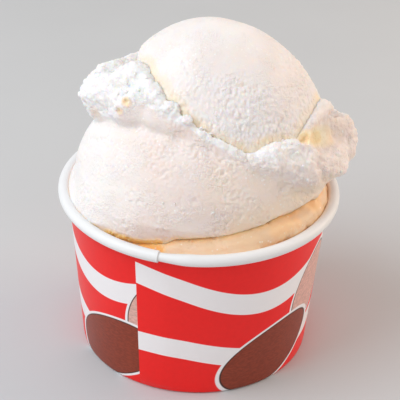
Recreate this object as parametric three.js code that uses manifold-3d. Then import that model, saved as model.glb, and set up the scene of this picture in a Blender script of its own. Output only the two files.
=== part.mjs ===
// A paper gelato cup: a wrapped sidewall with a rolled rim, a recessed bottom disc, a custard-coloured
// scoop that fills the cup, and two white scoops on it with a torn, craggy edge where they meet.
// Millimetres, +Z up. The front of the cup faces -Y. The cup is built round its own axis and then
// moved, so that the origin lies at the level of the foot, under the middle of the whole outline.
import * as THREE from "three";
import { ImprovedNoise } from "three/addons/math/ImprovedNoise.js";
import { mergeVertices } from "three/addons/utils/BufferGeometryUtils.js";
import Module from "manifold-3d";

// ---- Driving dimensions ----

const RIM_DIAMETER = 92; // over the rolled rim
const FOOT_DIAMETER = 76;
const CUP_HEIGHT = 57.6;
const BOARD = 0.5; // thickness of the paperboard
const ROLL_RADIUS = 1.9; // of the rolled rim's section
const GAP = 0.3; // between neighbouring pieces
const KEEP_OUT_STEPS = 8; // facets of the gelato's hollow over the rolled rim
const HEM_HEIGHT = 5; // of the sidewall's edge, folded up inside the foot
const FLOOR_HEIGHT = 6.4; // of the bottom disc's upper face
const LAP_AZIMUTH = -26; // degrees from the front to the glued lap's free edge
const LAP_SPAN = 13; // degrees that the sheet's ends overlap
const LAP_STEP = 0.4; // how far the overlapping end stands proud
const LAP_EDGE = 0.2; // degrees from the lap's edge to the foot and to the head of its step
const LAP_HEADROOM = 0.6; // from the lap's top to the rolled rim
const ROLL = { from: -125, sweep: 305, steps: 9 }; // the rolled rim's section, in degrees
const AROUND = 72; // facets round the cup
const OUTLINE_MIDDLE = 2.4; // X of the middle of the whole outline, from the cup's axis

// The torn edge between the scoops lies near a plane that falls towards +X.
const TEAR_HEIGHT = 91.2; // of that plane over the cup's axis
const TEAR_SLOPE = -0.51;

// The upper scoop: an ellipsoid whose top leans to the left, with a shallow underside.
const DOME = { centre: [6.6, 4, 66.5], radii: [36.6, 32, 46.3], lean: -14.2 };
const SEAT_DEPTH = 16; // how far the upper scoop's underside sinks below the torn edge

// The lower scoop's smooth body: an egg that fills the cup's mouth, its right side lifted.
const LOWER = { centre: [0.8, 1, 62], radii: [41.6, 38, 31.5], lean: -7 };
const LOWER_UNDERSIDE = 17; // its depth below its widest level
const SAG = { azimuth: -44, height: -12, bulge: 4, halfWidth: 50, halfHeight: 30 }; // over the rim
const CONTACT_HEIGHT = -28; // height angle, seen from its centre, where it meets the fill

// The lower scoop's torn collar, at angles from the front: how far its crest stands out from the
// dome and above the tear plane, how many degrees of the scoop's side it covers, its bulge, the
// hollow over that bulge, and how abruptly the collar starts, from 1 for a gentle slope.
const COLLAR = [
  { at: -140, out: 2, rise: -6, span: 14, bulge: 0.5, hollow: 0, start: 1.3 },
  { at: -118, out: 2.5, rise: -8, span: 18, bulge: 1.5, hollow: 0, start: 1.6 },
  { at: -92, out: 9, rise: -6.5, span: 20, bulge: 3, hollow: 0, start: 2.2 },
  { at: -66, out: 6, rise: -3, span: 15, bulge: 2, hollow: 0, start: 1.7 },
  { at: -42, out: 2.2, rise: -1.5, span: 11, bulge: 1, hollow: 0, start: 1.2 },
  { at: -12, out: 1.2, rise: -0.8, span: 8, bulge: 0.2, hollow: 0, start: 1 },
  { at: 26, out: 1, rise: -0.8, span: 7, bulge: 0.2, hollow: 0, start: 1 },
  { at: 41, out: 5, rise: 5, span: 18, bulge: 1.5, hollow: 0, start: 1.3 },
  { at: 57, out: 4.5, rise: 7.5, span: 23, bulge: 2.5, hollow: 0, start: 1.6 },
  { at: 68, out: 1.5, rise: 11.5, span: 28, bulge: 4.5, hollow: 4, start: 1.6 },
  { at: 80, out: 1.5, rise: 14, span: 29, bulge: 4.5, hollow: 4, start: 1.6 },
  { at: 92, out: 7, rise: 12, span: 24, bulge: 4, hollow: 0, start: 2 },
  { at: 106, out: 6, rise: 8, span: 21, bulge: 3, hollow: 0, start: 1.8 },
  { at: 122, out: 3.5, rise: 2, span: 16, bulge: 1, hollow: 0, start: 1.4 },
  { at: 150, out: 2.5, rise: -1, span: 14, bulge: 1, hollow: 0, start: 1.3 },
];
const LIP = { drop: 2.5, depth: 3 }; // from the crest down and inwards to the collar's inner edge
const BULGE_PLACE = 0.7; // below 1 the collar's bulge is widest above its middle
const HOLLOW = { place: 0.68, halfWidth: 0.3 }; // as shares of the collar's height
const CRUMB = { size: 4.5, depth: 1.6, least: 0.15, full: 6, fade: 0.08 }; // the collar's crags
const WAVE = { size: 14, depth: 0.35 }; // a scoop's broad unevenness
const CORE_DROP = 4; // of the lower scoop's hidden top below the torn edge
const SCOOP_AROUND = 96; // facets round a scoop

// Where the scoops' rings of points lie. On the upper scoop these are height angles from the torn
// edge. On the lower one they are shares of the collar's height, of the skin from the collar down
// to the fill (0 to -1) and of the hidden underside (-1 to -2), then shares of the way from the
// crest to the collar's inner edge.
const UPPER_RINGS = [-60, -35, -15, 0, 8, 16, 25, 34, 43, 52, 61, 70, 80];
const SKIN_RINGS = [-1.55, -1.25, -1, -0.87, -0.74, -0.61, -0.48, -0.35, -0.22, -0.12, -0.05];
const COLLAR_RINGS = [0, 0.15, 0.3, 0.45, 0.62, 0.8, 1];
const LIP_RINGS = [0.35, 0.7, 1];

// The scoop that fills the cup: its level by the wall, and the mound that shows at the front.
const FILL_LEVEL = 51.5;
const MOUND = { azimuth: 17, halfWidth: 38, rise: 5.2 };
const FURROW = { azimuth: 60, halfWidth: 9, depth: 4.5 };
const FILL_WAVE = 7; // size of its top's unevenness
const FILL_RINGS = [1, 0.95, 0.88, 0.8, 0.68]; // shares of its radius

const wasm = await Module();
wasm.setup();

// ---- Small tools ----

const degrees = THREE.MathUtils.degToRad;
const noise = new ImprovedNoise();

/** Layered noise at a point: features of the given size, each layer half the size of the last. */
function roughness(point, size, layers = 2) {
  let sum = 0;
  for (let i = 0; i < layers; i++) {
    const scale = 2 ** i / size;
    sum += noise.noise(point.x * scale + i * 7, point.y * scale, point.z * scale) / 2 ** i;
  }
  return sum;
}

/** A closed geometry as a manifold-3d solid. */
function solidOf(geometry) {
  const bare = geometry.clone();
  bare.deleteAttribute("normal");
  bare.deleteAttribute("uv");
  const merged = mergeVertices(bare, 1e-4);
  return new wasm.Manifold(
    new wasm.Mesh({
      numProp: 3,
      vertProperties: merged.attributes.position.array,
      triVerts: new Uint32Array(merged.index.array),
    }),
  );
}

/** A solid's largest piece as a geometry, so that a scrap left by a cut is dropped. */
function geometryOf(solid) {
  const pieces = solid.decompose().sort((a, b) => b.volume() - a.volume());
  const mesh = pieces[0].getMesh();
  const geometry = new THREE.BufferGeometry();
  geometry.setAttribute("position", new THREE.BufferAttribute(mesh.vertProperties, 3));
  geometry.setIndex(new THREE.BufferAttribute(mesh.triVerts, 1));
  geometry.computeVertexNormals();
  return geometry;
}

/** A profile of [radius, height] points turned round the cup's axis. */
function turned(profile) {
  const points = profile.map(([radius, height]) => new THREE.Vector2(radius, height));
  return new THREE.LatheGeometry(points, AROUND).rotateX(Math.PI / 2);
}

/** Moves every vertex of a geometry by a function that changes the point it is given. */
function reshape(geometry, change) {
  const position = geometry.attributes.position;
  const point = new THREE.Vector3();
  for (let i = 0; i < position.count; i++) {
    change(point.fromBufferAttribute(position, i));
    position.setXYZ(i, point.x, point.y, point.z);
  }
  return geometry;
}

/** The direction at an angle from the front and a height angle. */
const heading = (azimuth, height = 0) =>
  new THREE.Vector3(
    Math.sin(degrees(azimuth)) * Math.cos(degrees(height)),
    -Math.cos(degrees(azimuth)) * Math.cos(degrees(height)),
    Math.sin(degrees(height)),
  );

/** Angle of a point round the cup, in degrees from the front, positive to the right. */
const azimuthOf = (point) => THREE.MathUtils.radToDeg(Math.atan2(point.x, -point.y));

/** 1 at the middle of a band, falling smoothly to 0 at its half width. */
const bump = (offset, halfWidth) => 1 - THREE.MathUtils.smoothstep(Math.abs(offset), 0, halfWidth);

// ---- The paper cup ----

const footRadius = FOOT_DIAMETER / 2;
const rollCentre = RIM_DIAMETER / 2 - ROLL_RADIUS;
const wallTop = CUP_HEIGHT - ROLL_RADIUS;
const wallTopRadius = rollCentre - ROLL_RADIUS + BOARD;
const taper = (wallTopRadius - footRadius) / wallTop;

/** Radius of the sidewall's outer face at a height. */
const outerRadius = (height) => footRadius + taper * height;
/** Radius of the sidewall's inner face at a height. */
const innerRadius = (height) => outerRadius(height) - BOARD;

/** [radius, height] points on an arc about the middle of the rolled rim's section. */
function arc(radius, from, sweep, steps) {
  return Array.from({ length: steps + 1 }, (_, i) => {
    const angle = degrees(from + (sweep * i) / steps);
    return [rollCentre + radius * Math.cos(angle), wallTop + radius * Math.sin(angle)];
  });
}

/** The sidewall: a cone of board, rolled outwards at the rim and folded in and up at the foot. */
function cupWall() {
  const lapTop = wallTop - ROLL_RADIUS - LAP_HEADROOM;
  const hemRadius = (height) => innerRadius(height) - 2 * GAP - BOARD;
  const profile = [
    [hemRadius(0) - BOARD, 0],
    [footRadius, 0],
    [outerRadius(lapTop), lapTop],
    ...arc(ROLL_RADIUS, ROLL.from, ROLL.sweep, ROLL.steps),
    [innerRadius(BOARD), BOARD],
    [hemRadius(BOARD), BOARD],
    [hemRadius(HEM_HEIGHT), HEM_HEIGHT],
    [hemRadius(HEM_HEIGHT) - BOARD, HEM_HEIGHT],
    [hemRadius(0) - BOARD, 0],
  ];
  const facet = 360 / AROUND;
  const firstRaised = Math.ceil(LAP_AZIMUTH / facet) * facet;
  return reshape(turned(profile), (point) => {
    const radius = Math.hypot(point.x, point.y);
    if (radius < outerRadius(point.z) - BOARD / 2 || point.z > lapTop + GAP) return;
    const azimuth = azimuthOf(point);
    const raised = azimuth > LAP_AZIMUTH && azimuth < LAP_AZIMUTH + LAP_SPAN;
    let turnedTo = azimuth;
    if (Math.abs(azimuth - firstRaised) < facet / 2) turnedTo = LAP_AZIMUTH + LAP_EDGE;
    if (Math.abs(azimuth - firstRaised + facet) < facet / 2) turnedTo = LAP_AZIMUTH - LAP_EDGE;
    const height = point.z;
    point.copy(heading(turnedTo)).multiplyScalar(radius + (raised ? LAP_STEP : 0)).setZ(height);
  });
}

/** The bottom disc, with its skirt turned down between the sidewall and the sidewall's hem. */
function cupBottom() {
  const skirtFoot = BOARD + GAP;
  return turned([
    [0, FLOOR_HEIGHT - BOARD],
    [innerRadius(FLOOR_HEIGHT - BOARD) - GAP - BOARD, FLOOR_HEIGHT - BOARD],
    [innerRadius(skirtFoot) - GAP - BOARD, skirtFoot],
    [innerRadius(skirtFoot) - GAP, skirtFoot],
    [innerRadius(FLOOR_HEIGHT) - GAP, FLOOR_HEIGHT],
    [0, FLOOR_HEIGHT],
  ]);
}

/** Everything inside the cup or on its rim that the gelato has to keep clear of. */
function cupKeepOut() {
  return turned([
    [innerRadius(0) - GAP, 0],
    [innerRadius(0) - GAP, -GAP],
    [RIM_DIAMETER, -GAP],
    [RIM_DIAMETER, wallTop],
    ...arc(ROLL_RADIUS + GAP, 0, 180, KEEP_OUT_STEPS),
    [innerRadius(0) - GAP, 0],
  ]);
}

// ---- The gelato ----

/** Distance from a point to an ellipsoid's surface along a direction, from inside it. */
function reach({ centre, radii, lean }, origin, direction, underside = radii[2]) {
  const tilt = new THREE.Matrix4().makeRotationY(degrees(-lean));
  const from = new THREE.Vector3(...origin).sub(new THREE.Vector3(...centre)).applyMatrix4(tilt);
  const along = direction.clone().applyMatrix4(tilt);
  const shape = new THREE.Vector3(radii[0], radii[1], along.z < 0 ? underside : radii[2]);
  from.divide(shape);
  along.divide(shape);
  const a = along.lengthSq();
  const b = from.dot(along);
  return (-b + Math.sqrt(b * b - a * (from.lengthSq() - 1))) / a;
}

/** A closed skin from a pole, through rings of points round the cup, to another pole. */
function loft(startPole, rings, endPole) {
  const points = [startPole];
  for (const ring of rings) {
    for (let i = 0; i < SCOOP_AROUND; i++) points.push(ring((360 * i) / SCOOP_AROUND - 180));
  }
  points.push(endPole);
  const faces = [];
  const at = (ring, i) => 1 + ring * SCOOP_AROUND + (i % SCOOP_AROUND);
  const last = rings.length - 1;
  for (let i = 0; i < SCOOP_AROUND; i++) {
    faces.push(0, at(0, i + 1), at(0, i));
    for (let ring = 0; ring < last; ring++) {
      const [a, b, c, d] = [at(ring, i), at(ring, i + 1), at(ring + 1, i + 1), at(ring + 1, i)];
      const shorter = points[b].distanceTo(points[d]) < points[a].distanceTo(points[c]);
      faces.push(...(shorter ? [a, b, d, b, c, d] : [a, b, c, a, c, d]));
    }
    faces.push(at(last, i), at(last, i + 1), points.length - 1);
  }
  const geometry = new THREE.BufferGeometry().setFromPoints(points);
  geometry.setIndex(faces);
  return geometry;
}

/** A size of the torn collar at an angle from the front, eased between its stations. */
function collar(azimuth, size) {
  const after = COLLAR.findIndex((station) => station.at > azimuth);
  const next = COLLAR[after < 0 ? 0 : after];
  const previous = COLLAR[(after < 0 ? COLLAR.length : after || COLLAR.length) - 1];
  const turn = (angle) => (angle + 720) % 360;
  const share = turn(azimuth - previous.at) / turn(next.at - previous.at);
  return THREE.MathUtils.lerp(previous[size], next[size], THREE.MathUtils.smoothstep(share, 0, 1));
}

const tearHeight = (x) => TEAR_HEIGHT + TEAR_SLOPE * x;
const lowerCentre = new THREE.Vector3(...LOWER.centre);
const tearCentre = lowerCentre.clone().setZ(tearHeight(lowerCentre.x));

/** A point beside the dome at an angle round the lower scoop, a rise above the tear plane. */
function besideDome(azimuth, outwards, rise) {
  const flat = heading(azimuth);
  const direction = flat.clone().setZ(TEAR_SLOPE * flat.x).normalize();
  const origin = tearCentre.clone().setZ(tearCentre.z + rise);
  const distance = reach(DOME, origin.toArray(), direction);
  return direction.multiplyScalar(distance).add(origin).addScaledVector(flat, outwards);
}

/** The upper scoop: the dome above the torn edge, and a shallow bowl below it. */
function upperScoop(grow) {
  const normal = new THREE.Vector3(-TEAR_SLOPE, 0, 1).normalize();
  const surface = (azimuth, height) => {
    const flat = heading(azimuth);
    const level = flat.clone().setZ(TEAR_SLOPE * flat.x).normalize();
    const sine = Math.sin(degrees(height));
    const direction = level.clone().multiplyScalar(Math.cos(degrees(height)));
    direction.addScaledVector(normal, sine).normalize();
    let distance = reach(DOME, tearCentre.toArray(), direction);
    if (sine < 0) {
      const edge = reach(DOME, tearCentre.toArray(), level);
      distance = 1 / Math.hypot(Math.cos(degrees(height)) / edge, sine / SEAT_DEPTH);
    }
    return direction.multiplyScalar(distance + grow).add(tearCentre);
  };
  const rings = UPPER_RINGS.map((height) => (azimuth) => surface(azimuth, height));
  return solidOf(loft(surface(0, -90), rings, surface(0, 90)));
}

/** The lower scoop before anything is cut from it. */
function lowerBody(grow = 0) {
  const body = (azimuth, height) =>
    reach(LOWER, LOWER.centre, heading(azimuth, height), LOWER_UNDERSIDE) +
    SAG.bulge * bump(azimuth - SAG.azimuth, SAG.halfWidth) * bump(height - SAG.height, SAG.halfHeight);
  const crest = (azimuth) =>
    besideDome(azimuth, collar(azimuth, "out"), collar(azimuth, "rise"));
  const broken = (point, share) => {
    const away = point.clone().sub(lowerCentre).normalize();
    const crumbs = share * CRUMB.depth * roughness(point, CRUMB.size);
    const amount = WAVE.depth * roughness(point, WAVE.size) + crumbs;
    return point.addScaledVector(away, amount + grow);
  };
  const crumbliness = (azimuth) => Math.min(1, CRUMB.least + collar(azimuth, "out") / CRUMB.full);
  const outside = (share) => (azimuth) => {
    const top = crest(azimuth).sub(lowerCentre);
    const topHeight = THREE.MathUtils.radToDeg(Math.asin(top.z / top.length()));
    const foot = topHeight - collar(azimuth, "span");
    if (share <= 0) {
      const hidden = Math.max(0, -share - 1);
      const visible = THREE.MathUtils.lerp(foot, CONTACT_HEIGHT, Math.min(1, -share));
      const height = THREE.MathUtils.lerp(visible, -90, hidden);
      return broken(
        heading(azimuth, height).multiplyScalar(body(azimuth, height)).add(lowerCentre),
        THREE.MathUtils.smoothstep(share, -CRUMB.fade, 0) * crumbliness(azimuth),
      );
    }
    const height = THREE.MathUtils.lerp(foot, topHeight, share);
    const start = share ** (1 / collar(azimuth, "start"));
    const distance =
      THREE.MathUtils.lerp(body(azimuth, foot), top.length(), start) +
      collar(azimuth, "bulge") * Math.sin(Math.PI * share ** BULGE_PLACE) -
      collar(azimuth, "hollow") * bump(share - HOLLOW.place, HOLLOW.halfWidth);
    const point = heading(azimuth, height).multiplyScalar(distance).add(lowerCentre);
    return broken(point, crumbliness(azimuth));
  };
  const inside = (share) => (azimuth) => {
    const landing = besideDome(azimuth, -LIP.depth, collar(azimuth, "rise") - LIP.drop);
    const point = crest(azimuth).lerp(landing, share);
    return broken(point, (1 - share) * crumbliness(azimuth));
  };
  const rings = [...[...SKIN_RINGS, ...COLLAR_RINGS].map(outside), ...LIP_RINGS.map(inside)];
  const pole = heading(0, -90).multiplyScalar(body(0, -90) + grow).add(lowerCentre);
  return solidOf(loft(pole, rings, tearCentre.clone().setZ(TEAR_HEIGHT - CORE_DROP)));
}

/** The whole lower scoop, clear of the dome and of the cup's rim. */
function lowerScoop() {
  return lowerBody().subtract(upperScoop(GAP)).subtract(solidOf(cupKeepOut()));
}

/** The scoop that fills the cup, hollowed where the lower scoop sits in it. */
function fill() {
  const base = FLOOR_HEIGHT + GAP;
  const side = (height) => (azimuth) =>
    heading(azimuth).multiplyScalar(innerRadius(height) - GAP).setZ(height);
  const top = (share) => (azimuth) => {
    const place = side(FILL_LEVEL)(azimuth).multiply(new THREE.Vector3(share, share, 1));
    const height =
      FILL_LEVEL +
      MOUND.rise * bump(azimuth - MOUND.azimuth, MOUND.halfWidth) -
      FURROW.depth * bump(azimuth - FURROW.azimuth, FURROW.halfWidth) +
      roughness(place, FILL_WAVE);
    return side(height)(azimuth).multiply(new THREE.Vector3(share, share, 1));
  };
  const rings = [side(base), ...FILL_RINGS.map(top)];
  const body = loft(new THREE.Vector3(0, 0, base), rings, new THREE.Vector3(0, 0, FILL_LEVEL));
  return solidOf(body).subtract(lowerBody(GAP));
}

// ---- The assembled cup ----

const material = (color, roughness) =>
  new THREE.MeshStandardMaterial({ color, roughness, metalness: 0 });

const PRINTED_BOARD = material("#e23b2c", 0.45);
const WHITE_BOARD = material("#f2f0ec", 0.6);
const WHITE_GELATO = material("#fbf4ea", 0.55);
const CUSTARD_GELATO = material("#f3d3a2", 0.55);

const cup = new THREE.Group();
cup.position.x = -OUTLINE_MIDDLE;

function place(name, geometry, surface) {
  const mesh = new THREE.Mesh(geometry, surface);
  mesh.name = name;
  cup.add(mesh);
}

place("cup_wall", cupWall(), PRINTED_BOARD);
place("cup_bottom", cupBottom(), WHITE_BOARD);
place("gelato_fill", geometryOf(fill()), CUSTARD_GELATO);
place("scoop_lower", geometryOf(lowerScoop()), WHITE_GELATO);
place("scoop_upper", geometryOf(upperScoop(0)), WHITE_GELATO);

export default cup;
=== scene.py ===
"""A paper cup of gelato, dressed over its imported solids.

The cup is a sheet of printed board, wrapped and lapped, rolled outwards at the rim and folded in at
the foot, with a raised bottom disc. In it lie a custard-coloured filling and two pale scoops with a
torn, crumbly edge where they meet. Everything is in metres, +Z up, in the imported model's frame.
"""

import logging
import math
import random
from collections.abc import Callable, Sequence
from dataclasses import dataclass, field, replace
from enum import Enum

import bmesh
import bpy
from mathutils import Matrix, Vector, noise
from mathutils.bvhtree import BVHTree


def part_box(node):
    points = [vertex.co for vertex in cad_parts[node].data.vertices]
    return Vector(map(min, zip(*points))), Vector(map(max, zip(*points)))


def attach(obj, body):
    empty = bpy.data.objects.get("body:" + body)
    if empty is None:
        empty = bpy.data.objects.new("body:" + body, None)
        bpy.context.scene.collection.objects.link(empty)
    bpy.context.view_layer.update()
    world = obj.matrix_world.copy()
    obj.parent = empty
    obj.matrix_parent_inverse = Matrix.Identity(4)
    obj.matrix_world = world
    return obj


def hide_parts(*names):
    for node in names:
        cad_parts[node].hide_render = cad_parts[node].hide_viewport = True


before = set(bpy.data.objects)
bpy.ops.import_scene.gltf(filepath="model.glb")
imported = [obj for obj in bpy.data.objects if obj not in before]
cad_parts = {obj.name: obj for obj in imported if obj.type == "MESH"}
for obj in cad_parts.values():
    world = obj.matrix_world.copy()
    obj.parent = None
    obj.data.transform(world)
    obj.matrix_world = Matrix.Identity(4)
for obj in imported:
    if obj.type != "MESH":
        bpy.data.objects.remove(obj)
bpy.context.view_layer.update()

MM = 0.001
BODY = "root"
SHARP = math.radians(35)  # past this angle an edge of the board is drawn sharp
CAMERA_TARGET = 38.8 * MM  # height on the cup's axis
PAINTED_SHADE_AND_LIGHT = "painted_shade_and_light"  # attribute of each spot: above 0 painted shade where it is shut in, below 0 painted white for frost and light

log = logging.getLogger("gelato_cup")

Colour = tuple[float, float, float]
Place = tuple[float, float, float]
Station = tuple[float, ...]
Material = bpy.types.Material
Shape = bmesh.types.BMesh
Socket = bpy.types.NodeSocket
Thing = bpy.types.Object


class Slot(Enum):
    """The record's material slots."""

    PRINTED_BOARD = "printed_board"
    WHITE_BOARD = "white_board"
    CUSTARD = "custard_gelato"
    WHITE_GELATO = "white_gelato"


# ---- Small tools ----


def ease(low: float, high: float, value: float) -> float:
    """A smooth step: 0 for a value at or below low, 1 for one at or above high."""
    share = min(1.0, max(0.0, (value - low) / (high - low)))
    return share * share * (3 - 2 * share)


def around(stations: Sequence[Station], azimuth: float, size: int) -> float:
    """One size of a row of stations round the cup, eased between them.

    Args:
        stations: Tuples that start with an azimuth in degrees, in rising order.
        azimuth: Where the size is read, in degrees.
        size: Which entry of the tuples is read.

    Returns:
        The size there.
    """
    after = next((i for i, station in enumerate(stations) if station[0] > azimuth), 0)
    before, following = stations[after - 1], stations[after]
    span = (following[0] - before[0]) % 360
    share = ease(0, span, (azimuth - before[0]) % 360)
    return before[size] + (following[size] - before[size]) * share


def link(name: str, data: bpy.types.ID) -> Thing:
    """Adds a mesh, a light or a camera to the scene as an object at the origin.

    Args:
        name: The object's name.
        data: What it shows.

    Returns:
        The object.
    """
    thing = bpy.data.objects.new(name, data)
    bpy.context.scene.collection.objects.link(thing)
    return thing


def make(name: str, shape: Shape) -> Thing:
    """Turns a finished bmesh into an object, and frees it.

    Args:
        name: The object's name, and its mesh's.
        shape: The bmesh, in the frame.

    Returns:
        The object.
    """
    mesh = bpy.data.meshes.new(name)
    shape.to_mesh(mesh)
    shape.free()
    return link(name, mesh)


def apply(thing: Thing, kind: str, **settings: object) -> None:
    """Gives an object a modifier, and makes the result its mesh.

    Args:
        thing: The object, which keeps no modifier.
        kind: The modifier's type.
        **settings: The modifier's properties.
    """
    modifier = thing.modifiers.new(kind, kind)
    for name, value in settings.items():
        setattr(modifier, name, value)
    graph = bpy.context.evaluated_depsgraph_get()
    mesh = bpy.data.meshes.new_from_object(thing.evaluated_get(graph))
    thing.modifiers.clear()
    thing.data = mesh


def triangles(thing: Thing) -> int:
    """How many triangles a piece's mesh has."""
    return sum(len(face.vertices) - 2 for face in thing.data.polygons)


def publish(thing: Thing, slot: Slot, *nodes: str) -> None:
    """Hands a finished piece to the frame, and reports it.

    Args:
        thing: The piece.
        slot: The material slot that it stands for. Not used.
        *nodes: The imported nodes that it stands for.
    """
    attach(thing, BODY)
    if nodes:
        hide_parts(*nodes)
    stands_for = ", ".join(nodes) or "no node"
    log.info("%s: %d triangles, for %s", thing.name, triangles(thing), stands_for)


# ---- Finishes ----


def tint(colour: Colour, share: float) -> Colour:
    """A colour made lighter or darker."""
    return tuple(min(1.0, share * channel) for channel in colour)


class Shading:
    """A material's node tree, with short calls for the nodes that the finishes use."""

    def __init__(self, name: str) -> None:
        """Starts a material.

        Args:
            name: The material's name.
        """
        self.material = bpy.data.materials.new(name)
        self.material.use_nodes = True
        self.tree = self.material.node_tree
        self.surface = self.tree.nodes["Principled BSDF"]

    def wire(self, value: object, socket: Socket) -> None:
        """Links a socket to another, or sets it to a constant."""
        if isinstance(value, Socket):
            self.tree.links.new(value, socket)
        else:
            socket.default_value = value

    def dress(self, inputs: dict[str, object]) -> Material:
        """Wires the surface's inputs, and gives the material."""
        for name, value in inputs.items():
            self.wire(value, self.surface.inputs[name])
        return self.material

    def add(
        self, kind: str, wires: dict[str | int, object], output: str | int = 0, **settings: object
    ) -> Socket:
        """Adds a node.

        Args:
            kind: The node's type, without the word ShaderNode.
            wires: What goes into its inputs.
            output: Which output is given.
            **settings: The node's properties.

        Returns:
            The output.
        """
        node = self.tree.nodes.new("ShaderNode" + kind)
        for name, value in settings.items():
            setattr(node, name, value)
        for name, value in wires.items():
            self.wire(value, node.inputs[name])
        return node.outputs[output]

    def math(self, operation: str, *values: object) -> Socket:
        """A Math node's result."""
        return self.add("Math", dict(enumerate(values)), operation=operation)

    def ramp(self, value: object, low: float, high: float) -> Socket:
        """A smooth step from 0 at low to 1 at high."""
        return self.add("MapRange", {0: value, 1: low, 2: high}, interpolation_type="SMOOTHSTEP")

    def fall(self, value: object, low: float, high: float) -> Socket:
        """A smooth step from 1 at low to 0 at high."""
        return self.math("SUBTRACT", 1.0, self.ramp(value, low, high))

    def mix(self, share: object, low: object, high: object) -> Socket:
        """A colour between two others."""
        low, high = (end if isinstance(end, Socket) else (*end, 1.0) for end in (low, high))
        return self.add("Mix", {0: share, 6: low, 7: high}, 2, data_type="RGBA")

    def place(self, origin: Vector | None = None, scale: Place = (1, 1, 1)) -> Socket:
        """Object coordinates, counted from an origin and then scaled."""
        here = self.add("TexCoord", {}, "Object")
        shift = -(origin or Vector()) * Vector(scale)
        return self.add("Mapping", {"Vector": here, "Location": shift, "Scale": scale})

    def noise(self, where: object, size: float, detail: float = 3) -> Socket:
        """Noise from 0 to 1 with features of a size in metres."""
        return self.add("TexNoise", {"Vector": where, "Scale": 1 / size, "Detail": detail})

    def bump(self, height: object, depth: float, under: object = None) -> Socket:
        """A bumped normal: height from 0 to 1 stands for a depth in metres."""
        wires: dict[str | int, object] = {"Height": height, "Distance": depth}
        if under is not None:
            wires["Normal"] = under
        return self.add("Bump", wires)


@dataclass(frozen=True)
class BoardFinish:
    """White cup board, slightly coated. Inside the wall a painted pink glow stands for the red
    print shining through it.
    """

    name: str = "white_board"
    colour: Colour = (0.83, 0.822, 0.824)
    # Painted glow: pink on the inner face, for light shining through the red print.
    inside: Colour = (0.93, 0.77, 0.70)
    roughness: float = 0.42
    cloud: float = 9 * MM
    fibre: float = 0.5 * MM
    fibre_depth: float = 0.012 * MM
    print_glow_edge: tuple[float, float] = (0.1 * MM, 1.2 * MM)

    def material(self, cup: "CupSizes") -> Material:
        """The board's material.

        Args:
            cup: The cup's sizes, for its axis and the radius of its rolled rim.

        Returns:
            The material.
        """
        net = Shading(self.name)
        where = net.place(cup.axis)
        flat = net.add("VectorMath", {0: where, 1: (1, 1, 0)}, operation="MULTIPLY")
        away = net.add("VectorMath", {0: flat}, "Value", operation="LENGTH")
        edge = cup.roll_centre - cup.roll_radius
        # Painted glow: pink on the inner face, white past its edge on the rolled rim.
        outer = net.ramp(away, *(edge + past for past in self.print_glow_edge))
        cloud = net.noise(where, self.cloud)
        white = net.mix(cloud, tint(self.colour, 0.965), self.colour)
        fibres = net.noise(where, self.fibre)
        return net.dress(
            {
                "Base Color": net.mix(outer, self.inside, white),
                "Roughness": self.roughness,
                "Normal": net.bump(fibres, self.fibre_depth),
            }
        )


@dataclass(frozen=True)
class Stripe:
    """A waving stripe round the cup. Heights in metres, turns in radians from the lap's edge."""

    height: float
    swing: float
    crest: float
    width: float


@dataclass(frozen=True)
class Pebble:
    """A rounded printed shape, repeated round the cup."""

    along: float
    height: float
    length: float
    breadth: float
    tilt: float
    colour: Colour


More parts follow.
